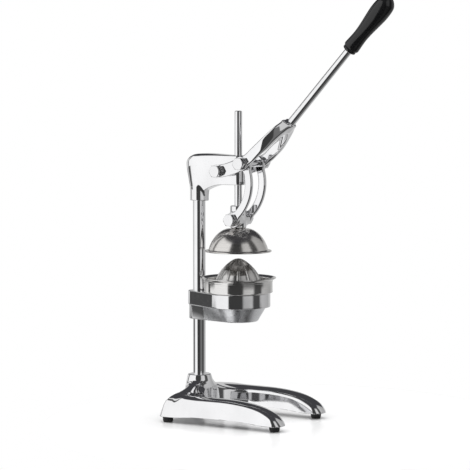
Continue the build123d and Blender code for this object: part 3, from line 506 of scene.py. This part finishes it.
# ---------------------------------------------------------------- bowl, strainer and dome
bowl_low, bowl_high = cad("juice_bowl")
RIM = bowl_high[2]
RIM_RADIUS = bowl_high[1]
SPOUT_FOOT = bowl_low[2]
STEP = BAND_TOP + 0.3
bowl_profile = rounded([
    (RIM_RADIUS - 0.9, RIM - 1.9, 0.5), (RIM_RADIUS, RIM - 1.1, 0.6), (RIM_RADIUS - 0.2, RIM, 0.6),
    (RIM_RADIUS - 2.4, RIM - 0.3, 1.2), (53.6, RIM - 3.6, 1.8), (53.5, STEP + 1.4, 0.8),
    (46.1, STEP + 1.4, 0.8), (46.1, BAND_FOOT + 6, 3.5), (33, BAND_FOOT - 1, 5), (10.6, BAND_FOOT - 7, 2),
    (10.6, SPOUT_FOOT + 0.3, 0.3),
    (11.4, SPOUT_FOOT, 0.3), (12, SPOUT_FOOT + 0.6, 0.3), (12, BAND_FOOT - 8.6, 2), (34, BAND_FOOT - 2.6, 5),
    (47.5, BAND_FOOT + 4.8, 3.5), (47.5, STEP, 0.4), (53.9, STEP, 0.9), (54.9, STEP + 1.1, 0.8),
    (54.9, STEP + 1.7, 0.4), (54.5, STEP + 2.4, 0.6), (54.5, RIM - 7.4, 0.6), (54.9, RIM - 6.8, 0.4),
    (54.9, RIM - 4.7, 1.6), (RIM_RADIUS - 2.6, RIM - 2.6, 1.2),
])
piece(
    turned("bowl", [((0, 0, 0), (0, 0, 1), bowl_profile)], 192),
    "bowl", ["juice_bowl"], "brushed_bowl", SPUN_BOWL,
)

strainer_low, strainer_high = cad("strainer")
DISH = strainer_low[2]
APEX = strainer_high[2]
REAMER_RIBS = 12
SLOTS = 30


def strainer_field(x, y, z):
    away = np.hypot(x, y)
    turn = np.arctan2(y, x)
    height = np.clip((z - DISH) / (APEX - DISH), 0, 1)
    shape_h = [0, 0.06, 0.2, 0.38, 0.52, 0.66, 0.8, 0.9, 0.96, 1.0]
    shape_r = [39.5, 38.6, 36.6, 34.0, 30.0, 24.6, 17.4, 10.8, 5.8, 0.0]
    radius = np.interp(height.ravel(), shape_h, shape_r).reshape(height.shape)
    body = np.maximum((away - radius) * 0.66, z - APEX)
    body = np.maximum(body, DISH - z)
    inside = np.maximum((away - radius + 3.0) * 0.66, z - APEX + 5)
    share = 2 * math.pi / REAMER_RIBS
    fold = np.abs((turn + share / 2) % share - share / 2)
    lateral = away * np.sin(fold)
    fin = np.maximum(lateral - 0.55 - 0.9 * (1 - height), (away - radius - 2.4 * np.sqrt(height)) * 0.66)
    fin = np.maximum(np.maximum(fin, 4.0 - away), np.maximum(DISH + 1 - z, z - APEX + 0.3))
    cup = either(body, fin, 1.6)
    dish = np.maximum(away - 52.8, slab(z, DISH, DISH + 1.5))
    cell = 2 * math.pi / SLOTS
    place = np.abs((turn + cell / 2) % cell - cell / 2)
    across, out = away * np.sin(place), np.abs(away * np.cos(place) - 45.8)
    slot = np.hypot(across, np.maximum(out - 3.65, 0)) - 1.1
    lip = np.hypot(away - 52.0, z - DISH - 1.6) - 0.9
    dish = np.minimum(np.maximum(dish, -slot), lip)
    return np.maximum(either(cup, dish, 1.2), -inside)


piece(
    surface_net("reamer_strainer", strainer_field, (-53, -53, DISH), (53, 53, APEX), 0.85),
    "strainer", ["strainer"], "brushed_strainer", SPUN_STRAINER,
)

dome_low, dome_high = cad("press_dome")
FLANGE = dome_low[2]
CROWN = dome_high[2]
FLANGE_RADIUS = dome_high[1]
dome_outside = flowing([
    (47.2, FLANGE + 3.5), (45.6, FLANGE + 9.1), (42.4, FLANGE + 16.1), (38.0, FLANGE + 22.9),
    (32.6, FLANGE + 28.7), (26.0, CROWN - 4.0), (19.0, CROWN - 1.2), (13.2, CROWN - 0.3),
])
dome_inside = [(r - 1.25, h - 1.0) for r, h in dome_outside]
dome_profile = (
    dome_outside
    + [(12.2, CROWN), (0, CROWN), (0, CROWN - 1.6), (10.5, CROWN - 2.2)]
    + dome_inside[::-1][1:]
    + rounded([
        (45.8, FLANGE + 1.2), (46.2, FLANGE, 0.6), (FLANGE_RADIUS, FLANGE, 1.2),
        (FLANGE_RADIUS, FLANGE + 2.6, 1.2), (48.2, FLANGE + 2.4, 0.9), (47.2, FLANGE + 3.5),
    ])
)
# the profile runs from the axis outwards, down the outside, round the flange and back up the inside
start = dome_profile.index((0, CROWN))
dome_profile = dome_profile[:start + 1][::-1] + dome_profile[start + 1:][::-1]
piece(
    turned("dome", [((0, 0, 0), (0, 0, 1), dome_profile)], 192),
    "plunger", ["press_dome"], "brushed_bowl", SPUN_DOME,
)

# ---------------------------------------------------------------- yoke and plunger rod
YOKE_TOP = cad("yoke")[1][2]
BARREL = LINK_BOTTOM[1]


def yoke_field(x, y, z):
    away = np.hypot(x, y)
    hub = both(away - 12.9, slab(z, CROWN, YOKE_TOP), 2.4)
    barrel = both(np.hypot(x - LINK_BOTTOM[0], z - BARREL) - 12.4, np.abs(y) - 17.4, 1.0)
    solid = either(hub, barrel, 2.0)
    solid = np.maximum(solid, CROWN - z)
    slot = np.hypot(
        np.maximum(np.abs(x + 2.075) - 4.025, 0), np.maximum(np.abs(z - BARREL + 0.85) - 1.15, 0)
    ) - 4.15
    bore = np.maximum(away - 6.1, BARREL + 9 - z)
    return np.maximum(solid, -np.minimum(slot, bore))


piece(
    surface_net("yoke_hub", yoke_field, (-13, -17.4, CROWN), (13, 17.4, YOKE_TOP), 0.8),
    "plunger", ["yoke"], "chrome_link", CHROME_LINK,
)
piece(
    turned("rod", [((0, 0, 0), (0, 0, 1), rounded([
        (0, ROD_FOOT), (6, ROD_FOOT, 0.3), (6, ROD_TOP, 2.6), (0, ROD_TOP),
    ], 8))], 128),
    "plunger", ["plunger_rod"], "chrome_tube", CHROME_TUBE,
)

# ---------------------------------------------------------------- head
SOCKET_FOOT = cad("head_casting")[0][2]
BOSS_FOOT = SOCKET_FOOT + 26.0
head_outline = flowing([
    (POST - 30, SOCKET_FOOT + 60.0), (POST - 16, SOCKET_FOOT + 67.6), (POST - 8, SOCKET_FOOT + 71.6),
    (POST + 2, SOCKET_FOOT + 74.6), (POST + 18, SOCKET_FOOT + 75.4), (POST + 45, SOCKET_FOOT + 74.2),
    (-8, SOCKET_FOOT + 73.0), (14, SOCKET_FOOT + 72.5),
]) + flowing([
    (14, BOSS_FOOT), (-24, BOSS_FOOT), (-36, BOSS_FOOT - 1.2), (-48, BOSS_FOOT - 4.8),
    (POST + 14.4, BOSS_FOOT - 9.5),
]) + [(POST + 14.4, SOCKET_FOOT), (POST - 30, SOCKET_FOOT)]


def head_field(x, y, z):
    bulge = 14.5 + 5.6 * eased(z, SOCKET_FOOT + 14, SOCKET_FOOT + 60)
    plan = hull(x, y, POST, bulge, 0.0, 11.0)
    socket = np.hypot(x - POST, y) - bulge
    side = outline(x, z, head_outline)
    soft = np.interp(np.ravel(x), [-95, -78, -62, -35, -8], [5.0, 8.5, 8.0, 4.5, 2.0]).reshape(np.shape(x))
    soft = 0.9 + (soft - 0.9) * eased(z, SOCKET_FOOT + 30, SOCKET_FOOT + 58)
    # below the web only the round socket is left, and the two flow together
    web = both(plan + 8.0 * (1 - eased(z, SOCKET_FOOT + 6, SOCKET_FOOT + 32)), side, soft)
    sunk = 3.5 * eased(z, SOCKET_FOOT + 20, SOCKET_FOOT + 46)
    collar = both(socket + sunk, slab(z, SOCKET_FOOT, SOCKET_FOOT + 46), 0.9)
    solid = either(web, collar, 2.5)
    bore = np.hypot(x, y) - 8.05
    screw = np.maximum(np.hypot(y, z - SOCKET_FOOT - 16) - 3.1, x - POST + 10)
    return np.maximum(solid, -np.minimum(bore, screw))


piece(
    surface_net("head", head_field, (POST - 20.2, -20.2, SOCKET_FOOT), (11.2, 20.2, SOCKET_FOOT + 76), 1.05),
    "frame", ["head_casting"], "chrome_casting", CHROME_CASTING,
)

# ---------------------------------------------------------------- lever fork
fork_top = flowing([
    (LEVER_PIVOT[0], LEVER_PIVOT[1] + 10.2), (-6, 409.3), (9.9, 415), (28, 423), (41, 434), (50, 441.6),
    (58.6, 448.9), (67, 456.4), (74, 463), (81, 469.8), (86.4, 475.2), (88.6, 480.2),
])
fork_foot = flowing([
    (101.6, 468.4), (95.6, 463.6), (90.2, 458.2), (84.3, 452.2), (77.7, 445.2), (72, 439), (65, 431.5),
    (55, 422.8), (46.4, 415), (37, 407.7), (30.6, 402.6), (23.4, 398), (14.4, 394.2), (0, 390.0),
    (-11, 387.6),
    (LEVER_PIVOT[0], LEVER_PIVOT[1] - 10.2),
])
arm_plan = (
    [(-40, 34), (36, 34)]
    + flowing([
        (40, 34), (50, 34.4), (60, 34.0), (68, 32), (78, 28.0), (86, 22.0), (92, 16.0), (98, 10), (103, 8.6),
    ])
    + [(112, 8.6), (112, -20), (86.5, -20), (86.5, 0)]
    + flowing([(85.6, 5), (80.5, 13.0), (74, 18.8), (66, 23.2), (58, 25.8), (50, 26.4), (40, 26)])
    + [(36, 26), (-40, 26)]
)
lever_angle = math.radians(48.0)
lever_line = np.array([math.cos(lever_angle), 0, math.sin(lever_angle)])
COLLAR = np.array([95.0, 0, 474.0])


def fork_field(x, y, z):
    side = outline(x, z, fork_top + fork_foot)
    eye = np.hypot(x - LEVER_PIVOT[0], z - LEVER_PIVOT[1]) - 10.2
    middle = np.interp(np.ravel(x), [-18, 0, 28, 50, 74, 95], [397, 399.5, 411.5, 430, 452, 473])
    # the outer face starts to turn in lower down first, so the narrowing leans along the arm
    narrowing = eased(x, 30, 50) * (1 - eased(x, 74, 92))
    lean = 0.35 * np.clip(z - middle.reshape(np.shape(x)), -12, 12) * narrowing
    edge = 2.2 + 1.5 * eased(x, -12, 10)
    arm = both(np.minimum(side, eye), outline(x - lean, np.abs(y), arm_plan), edge)
    along = (x - COLLAR[0]) * lever_line[0] + (z - COLLAR[2]) * lever_line[2]
    off = np.hypot((x - COLLAR[0]) * lever_line[2] - (z - COLLAR[2]) * lever_line[0], y)
    collar = both(off - 8.6, slab(along, -15.0, 0.0), 1.0)
    solid = either(both(arm, along, 3.0), collar, 3.0)
    bores = np.minimum(eye + 10.2, np.hypot(x - LINK_TOP[0], z - LINK_TOP[1])) - 5.15
    return np.maximum(solid, -bores)


piece(
    surface_net("fork", fork_field, (-30, -35, 385), (103, 35, 482), 0.9, 1.0),
    "lever", ["lever_fork"], "chrome_casting", CHROME_CASTING,
)

# ---------------------------------------------------------------- lever rod and grip
piece(
    turned("lever_bar", [(COLLAR, lever_line, rounded([
        (0, -11.3), (6.7, -11.3, 0.3), (5.9, 147.5, 0.2), (5.9, 234.5, 0.5), (0, 234.5),
    ]))], 128),
    "lever", ["lever_rod"], "chrome_tube", CHROME_TUBE,
)
grip_profile = [(0, 0.0)] + rounded([
    (0, 0), (9.0, 0, 0.8), (10.7, 1.2, 0.8), (10.7, 4.0, 0.6), (10.0, 5.0, 0.6), (10.6, 5.4, 0.3),
    (12.2, 6.4, 0.9), (12.45, 8.4, 1.5), (12.3, 11),
])[1:] + flowing([
    (11.9, 16), (11.3, 25), (11.3, 33), (12.1, 45), (13.6, 58), (14.9, 70), (15.3, 79), (14.9, 88),
    (13.3, 95.5),
    (9.2, 101.1), (4.8, 104.4), (0, 105.4),
])
piece(
    turned("grip", [(COLLAR + lever_line * 147.5, lever_line, grip_profile)], 128, 30),
    "lever", ["handle_grip"], "black_grip", GRIP,
)

# ---------------------------------------------------------------- links
span = np.array(LINK_TOP) - np.array(LINK_BOTTOM)
chord = np.linalg.norm(span)
forward = np.array([span[1], -span[0]]) / chord
bow = 18.0
arc_radius = (chord ** 2 / 4 + bow ** 2) / (2 * bow)
arc_centre = (np.array(LINK_TOP) + np.array(LINK_BOTTOM)) / 2 + forward * (bow - arc_radius)
half_turn = math.asin(chord / 2 / arc_radius)


def link_field(side):
    def field(x, y, z):
        ux, uz = x - arc_centre[0], z - arc_centre[1]
        turn = np.arctan2(ux * span[0] + uz * span[1], (ux * forward[0] + uz * forward[1]) * chord)
        band = np.where(np.abs(turn) < half_turn, np.abs(np.hypot(ux, uz) - arc_radius) - 6.25, 30.0)
        top = np.hypot(x - LINK_TOP[0], z - LINK_TOP[1])
        foot = np.hypot(x - LINK_BOTTOM[0], z - LINK_BOTTOM[1])
        flat = either(either(band, top - 10.7, 6.0), foot - 10.7, 6.0)
        solid = both(flat, slab(side * y, 18.0, 25.0), 2.2)
        return np.maximum(solid, -np.minimum(top - 5.1, foot - 4.1))
    return field


for side, word in ((-1, "right"), (1, "left")):
    edges = sorted((side * 18.0, side * 25.0))
    piece(
        surface_net("link_bar_" + word, link_field(side), (-12, edges[0], 308), (52, edges[1], 422), 0.65),
        "links", ["link_" + word], "chrome_link", CHROME_LINK,
    )


# ---------------------------------------------------------------- bolts, nuts and washers
def hex_piece(name, node, pivot, bore):
    """A hexagonal head, or a nut when it has a bore, with chamfered corners, filling its CAD node's box."""
    is_head = bore is None
    low, high = cad(node)
    if is_head:
        faces = sorted((low[1], -25.0 - 1.5 if node.startswith("link_bottom") else -37.0))
    else:
        faces = (low[1], high[1])
    middle, half = sum(faces) / 2, (faces[1] - faces[0]) / 2
    outer = faces[0] if is_head else faces[1]
    outward = -1.0 if is_head else 1.0

    def field(x, y, z):
        u, v = np.abs(x - pivot[0]), np.abs(z - pivot[1])
        flats = np.maximum(v, u * math.cos(math.pi / 6) + v * 0.5) - 9.0
        prism = both(flats, np.abs(y - middle) - half, 0.5)
        inset = (y - outer) * outward
        crown = (np.hypot(u, v) - 9.2 + (inset + 0.4) * 1.7) * 0.5
        hexagon = both(prism, crown, 0.6)
        if is_head:
            return hexagon
        return np.maximum(hexagon, bore + 0.1 + np.maximum(inset + 0.9, 0) - np.hypot(u, v))
    start = (pivot[0] - 11, faces[0], pivot[1] - 11)
    end = (pivot[0] + 11, faces[1], pivot[1] + 11)
    return surface_net(name, field, start, end, 0.6)


def ring_profile(inner, outer, low, high):
    soft = 0.35
    return rounded([
        (inner, low, 0), (outer, low, soft), (outer, high, soft), (inner, high, 0),
    ], 3)


for place, pivot, body, shank_radius, seat in (
    ("lever_pivot", LEVER_PIVOT, "frame", 5.0, 37.0),
    ("link_top", LINK_TOP, "lever", 5.0, 37.0),
    ("link_bottom", LINK_BOTTOM, "links", 4.0, 26.5),
):
    origin = (pivot[0], 0, pivot[1])
    bolt_end = cad(place + "_bolt")[1][1]
    piece(
        hex_piece(place + "_head", place + "_bolt", pivot, None),
        body, [place + "_bolt"], "chrome_hardware", CHROME_HARDWARE,
    )
    piece(
        turned(place + "_shank", [(origin, (0, 1, 0), rounded([
            (0, -seat), (shank_radius, -seat), (shank_radius, bolt_end, 0.8), (0, bolt_end),
        ]))], 72),
        body, [place + "_bolt"], "chrome_hardware", CHROME_HARDWARE,
    )
    piece(
        hex_piece(place + "_hexnut", place + "_nut", pivot, shank_radius),
        body, [place + "_nut"], "chrome_hardware", CHROME_HARDWARE,
    )
    washer_low, washer_high = cad(place + "_washers")
    thick = {"lever_pivot": 2.9, "link_top": 3.0, "link_bottom": 1.5}[place]
    radius = (washer_high[0] - washer_low[0]) / 2
    sides = ((washer_low[1], washer_low[1] + thick), (washer_high[1] - thick, washer_high[1]))
    piece(
        turned(place + "_rings", [
            (origin, (0, 1, 0), ring_profile(shank_radius + 0.05, radius, a, b)) for a, b in sides
        ], 96),
        body, [place + "_washers"], "chrome_hardware", CHROME_HARDWARE,
    )

piece(
    turned("pivot_spacers", [
        ((LEVER_PIVOT[0], 0, LEVER_PIVOT[1]), (0, 1, 0), ring_profile(5.05, 8.0, start, start + 12.05))
        for start in (-25.85, 13.8)
    ], 72),
    "frame", ["lever_pivot_spacers"], "chrome_hardware", CHROME_HARDWARE,
)
piece(
    turned("link_spacer", [
        ((LINK_TOP[0], 0, LINK_TOP[1]), (0, 1, 0), ring_profile(5.05, 6.2, -17.85, 17.85))
    ], 72),
    "lever", ["link_top_spacer"], "chrome_hardware", CHROME_HARDWARE,
)

# ---------------------------------------------------------------- CAD pieces that stay as they are
for node, material in {
    "foot_screws": ZINC, "post_plug": ZINC, "post_washer": ZINC, "post_bolt": ZINC, "bracket_screws": ZINC,
    "head_screw": ZINC, "dome_screw": ZINC, "dome_washer": ZINC, "guide_bush": BRONZE,
}.items():
    data = frame["nodes"][node].data
    data.materials.clear()
    data.materials.append(material)

# ---------------------------------------------------------------- floor, light and camera
view_turn = math.radians(30.0)
view_drop = math.radians(4.289)
level_back = Vector((math.sin(view_turn), -math.cos(view_turn), 0))
level_right = Vector((math.cos(view_turn), math.sin(view_turn), 0))
back = level_back * math.cos(view_drop) + Vector((0, 0, math.sin(view_drop)))

camera = bpy.data.objects.new("camera", bpy.data.cameras.new("camera"))
bpy.context.scene.collection.objects.link(camera)
bpy.context.scene.camera = camera
camera.data.sensor_width = 36.0
camera.data.lens = 1800.0 / 470.0 * 36.0
camera.location = Vector(((PX - 6.1) / MM, 0, 0.2948)) + back * 2.862
camera.rotation_mode = "QUATERNION"
camera.rotation_quaternion = (-back).to_track_quat("-Z", "Y")
camera.data.clip_start = 0.05
camera.data.clip_end = 200

floor_mesh = bpy.data.meshes.new("floor")
rim = [(0.38 * math.cos(i * math.pi / 48), 0.38 * math.sin(i * math.pi / 48), -0.0002) for i in range(96)]
floor_mesh.from_pydata(rim, [], [list(range(96))])
floor = bpy.data.objects.new("floor", floor_mesh)
bpy.context.scene.collection.objects.link(floor)
g = Graph("PaleFloor", IOR=1.4)
g.shade(g.noise(3, 2), [(0.3, (0.90, 0.90, 0.90)), (0.7, (0.92, 0.92, 0.92))], "Base Color")
g.shade(g.noise(9, 3), [(0.3, 0.18), (0.7, 0.24)], "Roughness")
floor_mesh.materials.append(g.material)
floor.visible_glossy = False

# The studio: a ring of light and dark panels at fixed angles round the object, with a dark ceiling.
# One set of panels stands above the split and another below it. The camera itself sees plain white.
world = bpy.data.worlds.new("studio")
bpy.context.scene.world = world
world.use_nodes = True
tree = world.node_tree
tree.nodes.clear()


def node(kind, inputs=None, **settings):
    made = tree.nodes.new(kind)
    for key, value in settings.items():
        setattr(made, key, value)
    for key, value in (inputs or {}).items():
        if isinstance(value, bpy.types.NodeSocket):
            tree.links.new(value, made.inputs[key])
        else:
            made.inputs[key].default_value = value
    return made


def ramp(fac, stops, interpolation="LINEAR"):
    made = node("ShaderNodeValToRGB", {"Fac": fac})
    made.color_ramp.interpolation = interpolation
    while len(made.color_ramp.elements) < len(stops):
        made.color_ramp.elements.new(0.5)
    for element, (place, grey) in zip(made.color_ramp.elements, stops):
        element.position = place
        element.color = (grey, grey, grey, 1)
    return made.outputs["Color"]


direction = node("ShaderNodeTexCoord").outputs["Generated"]
toward = node("ShaderNodeVectorMath", {0: direction, 1: level_back}, operation="DOT_PRODUCT").outputs["Value"]
right = node("ShaderNodeVectorMath", {0: direction, 1: level_right}, operation="DOT_PRODUCT").outputs["Value"]
turn = node("ShaderNodeMath", {0: right, 1: toward}, operation="ARCTAN2").outputs[0]
turn = node(
    "ShaderNodeMath", {0: turn, 1: 1 / (2 * math.pi), 2: 0.5}, operation="MULTIPLY_ADD"
).outputs[0]


def at(degrees):
    return degrees / 360 + 0.5


upper = ramp(turn, [
    (0.0, 0.55), (at(-150), 0.45), (at(-138), 0.7), (at(-123), 0.95), (at(-119), 0.07), (at(-111), 0.07),
    (at(-108), 1.0), (at(-38), 1.05), (at(-34), 0.05), (at(13), 0.05), (at(20), 0.62), (at(50), 0.70),
    (at(57), 0.08), (at(80), 0.07), (at(88), 0.55), (at(135), 0.40), (at(145), 0.60), (1.0, 0.6),
])
lower = ramp(turn, [
    (0.0, 0.50), (at(-150), 0.35), (at(-138), 0.4), (at(-124), 0.8), (at(-121), 0.07), (at(-98), 0.09),
    (at(-90), 0.35), (at(-84), 1.0), (at(-38), 1.05), (at(-34), 0.04), (at(13), 0.05), (at(20), 0.16),
    (at(52), 0.18), (at(60), 0.05), (at(88), 0.07), (at(96), 0.42), (at(140), 0.5), (1.0, 0.7),
])
rise = node("ShaderNodeSeparateXYZ", {"Vector": direction}).outputs["Z"]
# the lower panels take over between 6.5 and 6.8 degrees below the horizon
SPLIT_SLOPE = 150.0
SPLIT_START = 16.9
below = node(
    "ShaderNodeMath", {0: rise, 1: -SPLIT_SLOPE, 2: -SPLIT_START}, operation="MULTIPLY_ADD", use_clamp=True
)
walls = node("ShaderNodeMix", {0: below.outputs[0], 6: upper, 7: lower}, data_type="RGBA").outputs[2]
low_wall, high_wall = math.sin(math.radians(13)), math.sin(math.radians(48))
wall_top = ramp(turn, [
    (0.0, low_wall), (at(-138), low_wall), (at(-122), high_wall), (at(122), high_wall), (at(138), low_wall),
    (1.0, low_wall),
])
over = node("ShaderNodeMath", {0: rise, 1: wall_top}, operation="SUBTRACT").outputs[0]
ceiling = node("ShaderNodeMath", {0: over, 1: 12.0}, operation="MULTIPLY", use_clamp=True).outputs[0]
mixed = node("ShaderNodeMix", {0: ceiling, 6: walls, 7: (0.055, 0.055, 0.06, 1)}, data_type="RGBA")
seen = node("ShaderNodeLightPath").outputs["Is Camera Ray"]
studio = node("ShaderNodeMix", {0: seen, 6: mixed.outputs[2], 7: (1.0, 1.0, 1.0, 1)}, data_type="RGBA")
shine = node("ShaderNodeBackground", {"Color": studio.outputs[2], "Strength": 1.0})
node("ShaderNodeOutputWorld", {"Surface": shine.outputs[0]})

lamp = bpy.data.lights.new("overhead", "SUN")
lamp.energy = 3.9
lamp.angle = math.radians(110)
overhead = bpy.data.objects.new("overhead", lamp)
bpy.context.scene.collection.objects.link(overhead)
overhead.location = (0, 0, 3)
overhead.visible_glossy = False
bpy.context.scene.view_settings.view_transform = "Standard"
